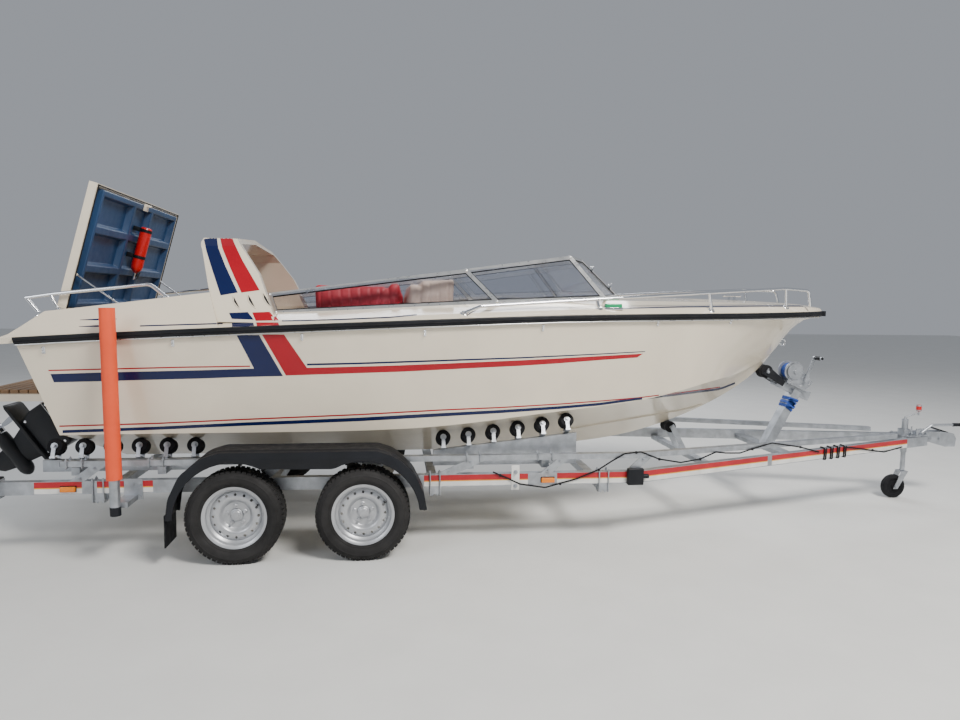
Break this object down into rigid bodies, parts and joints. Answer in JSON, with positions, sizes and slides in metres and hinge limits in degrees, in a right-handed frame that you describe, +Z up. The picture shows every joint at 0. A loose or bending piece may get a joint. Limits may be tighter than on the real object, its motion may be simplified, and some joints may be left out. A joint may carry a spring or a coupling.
{
  "type": "sports boat on a roller trailer",
  "caption": "Open day boat with a radar arch, wrapped windscreen and raised stern drive, standing on a tandem-axle roller trailer with a winch post and a jockey wheel.",
  "frame": {"origin": "on the ground, under the middle of the whole length, on the centreline", "axes": "+X forward to the bow and the coupling, +Y to port, +Z up"},
  "size_m": [7.8153, 2.22, 2.3439],
  "materials": {
    "gelcoat": "glossy cream gelcoat",
    "rub_rail": "dark ribbed rubbing strake",
    "lining": "matt cockpit lining",
    "vinyl_cream": "pleated vinyl",
    "vinyl_red": "pleated vinyl",
    "dark_trim": "matt black",
    "aluminium": "satin anodised",
    "glazing": "lightly smoked",
    "stainless": "polished",
    "liner_blue": "moulded, dark blue",
    "red_paint": "gloss red",
    "engine_paint": "semi-gloss",
    "teak": "oiled",
    "drive_paint": "semi-gloss black",
    "galvanised": "hot-dip galvanised",
    "wheel_silver": "silver paint",
    "tyre": "matt",
    "black_plastic": "grained",
    "black_rubber": "matt",
    "blue_webbing": "woven",
    "coupling_steel": "zinc plated",
    "orange_sleeve": "matt PVC",
    "lamp_amber": "moulded lens",
    "nav_green": "moulded"
  },
  "bodies": {
    "boat_and_trailer": {"aft_seats": "vinyl_red", "arch": "gelcoat", "axles": "galvanised", "bay_fittings": "lining", "bench_seat": "vinyl_red", "bow_rails": "stainless", "cockpit_floor": "lining", "coupling": "coupling_steel", "cross_members": "galvanised", "dash": "dark_trim", "deck": "gelcoat", "deck_fittings": "stainless", "drawbar": "galvanised", "engine": "engine_paint", "frame_gussets": "galvanised", "frame_rails": "galvanised", "guide_posts": "galvanised", "guide_sleeves": "orange_sleeve", "handbrake": "coupling_steel", "helm_seats": "vinyl_cream", "hull": "gelcoat", "hull_rollers": "black_rubber", "jockey_clamp": "galvanised", "mudguards": "black_plastic", "nav_lights": "nav_green", "platform_slats": "teak", "roller_cradles": "galvanised", "rub_rail": "rub_rail", "stern_rails": "stainless", "swim_platform": "gelcoat", "trailer_lamps": "lamp_amber", "transom_plate": "drive_paint", "winch": "galvanised", "winch_post": "galvanised", "winch_strap": "blue_webbing", "windscreen_frame": "aluminium", "windscreen_glass": "glazing"},
    "wheel_rear_left": {"rim_rear_left": "wheel_silver", "tyre_rear_left": "tyre"},
    "wheel_rear_right": {"rim_rear_right": "wheel_silver", "tyre_rear_right": "tyre"},
    "wheel_front_left": {"rim_front_left": "wheel_silver", "tyre_front_left": "tyre"},
    "wheel_front_right": {"rim_front_right": "wheel_silver", "tyre_front_right": "tyre"},
    "jockey_post": {"jockey_tube": "galvanised"},
    "jockey_screw": {"jockey_stem": "galvanised"},
    "jockey_caster": {"jockey_fork": "galvanised"},
    "jockey_roller": {"jockey_wheel": "black_rubber"},
    "helm": {"steering_wheel": "dark_trim"},
    "drive_yoke": {"steering_yoke": "drive_paint"},
    "drive": {"drive_leg": "drive_paint"},
    "screw": {"propeller": "drive_paint"},
    "hatch": {"engine_hatch": "gelcoat", "hatch_liner": "liner_blue", "extinguisher": "red_paint"},
    "stay_left": {"hatch_stay_left": "stainless"},
    "stay_right": {"hatch_stay_right": "stainless"}
  },
  "joints": [
    {"name": "wheel_rear_left_spin", "type": "hinge", "parent": "boat_and_trailer", "child": "wheel_rear_left", "pos_m": [-1.8995, 0.998, 0.294], "axis": [0, 1, 0], "continuous": true},
    {"name": "wheel_rear_right_spin", "type": "hinge", "parent": "boat_and_trailer", "child": "wheel_rear_right", "pos_m": [-1.8995, -0.998, 0.294], "axis": [0, 1, 0], "continuous": true},
    {"name": "wheel_front_left_spin", "type": "hinge", "parent": "boat_and_trailer", "child": "wheel_front_left", "pos_m": [-1.1205, 0.998, 0.294], "axis": [0, 1, 0], "continuous": true},
    {"name": "wheel_front_right_spin", "type": "hinge", "parent": "boat_and_trailer", "child": "wheel_front_right", "pos_m": [-1.1205, -0.998, 0.294], "axis": [0, 1, 0], "continuous": true},
    {"name": "jockey_lift", "type": "slide", "parent": "boat_and_trailer", "child": "jockey_post", "axis": [0, 0, 1], "range_m": [0, 0.12]},
    {"name": "jockey_screw_travel", "type": "slide", "parent": "jockey_post", "child": "jockey_screw", "axis": [0, 0, 1], "range_m": [0, 0.13]},
    {"name": "jockey_swivel", "type": "hinge", "parent": "jockey_screw", "child": "jockey_caster", "pos_m": [3.402, 0, 0.262], "axis": [0, 0, 1], "continuous": true},
    {"name": "jockey_spin", "type": "hinge", "parent": "jockey_caster", "child": "jockey_roller", "pos_m": [3.322, 0, 0.1], "axis": [0, 1, 0], "continuous": true},
    {"name": "helm_turn", "type": "hinge", "parent": "boat_and_trailer", "child": "helm", "pos_m": [-0.33, -0.4, 1.5], "axis": [-0.8829, 0, 0.4695], "range_deg": [-540, 540]},
    {"name": "drive_steer", "type": "hinge", "parent": "boat_and_trailer", "child": "drive_yoke", "pos_m": [-3.2, 0, 0.76], "axis": [0, 0, 1], "range_deg": [-28, 28]},
    {"name": "drive_tilt", "type": "hinge", "parent": "drive_yoke", "child": "drive", "pos_m": [-3.2, 0, 0.76], "axis": [0, 1, 0], "range_deg": [-55, 0]},
    {"name": "propeller_spin", "type": "hinge", "parent": "drive", "child": "screw", "pos_m": [-3.799, 0, 0.6653], "axis": [0.5736, 0, -0.8192], "continuous": true},
    {"name": "hatch_hinge", "type": "hinge", "parent": "boat_and_trailer", "child": "hatch", "pos_m": [-2.945, 0, 1.535], "axis": [0, 1, 0], "range_deg": [0, 68]},
    {"name": "hatch_stay_left_pivot", "type": "hinge", "parent": "hatch", "child": "stay_left", "pos_m": [-2.885, 0.758, 1.77], "axis": [0, 1, 0], "range_deg": [-102, 0]},
    {"name": "hatch_stay_right_pivot", "type": "hinge", "parent": "hatch", "child": "stay_right", "pos_m": [-2.885, -0.758, 1.77], "axis": [0, 1, 0], "range_deg": [-102, 0]}
  ],
  "couplings": [
    {"joint": "drive_steer", "follows": "helm_turn", "ratio": -0.05185},
    {"joint": "hatch_stay_left_pivot", "follows": "hatch_hinge", "ratio": -1.4868},
    {"joint": "hatch_stay_right_pivot", "follows": "hatch_hinge", "ratio": -1.4868}
  ]
}
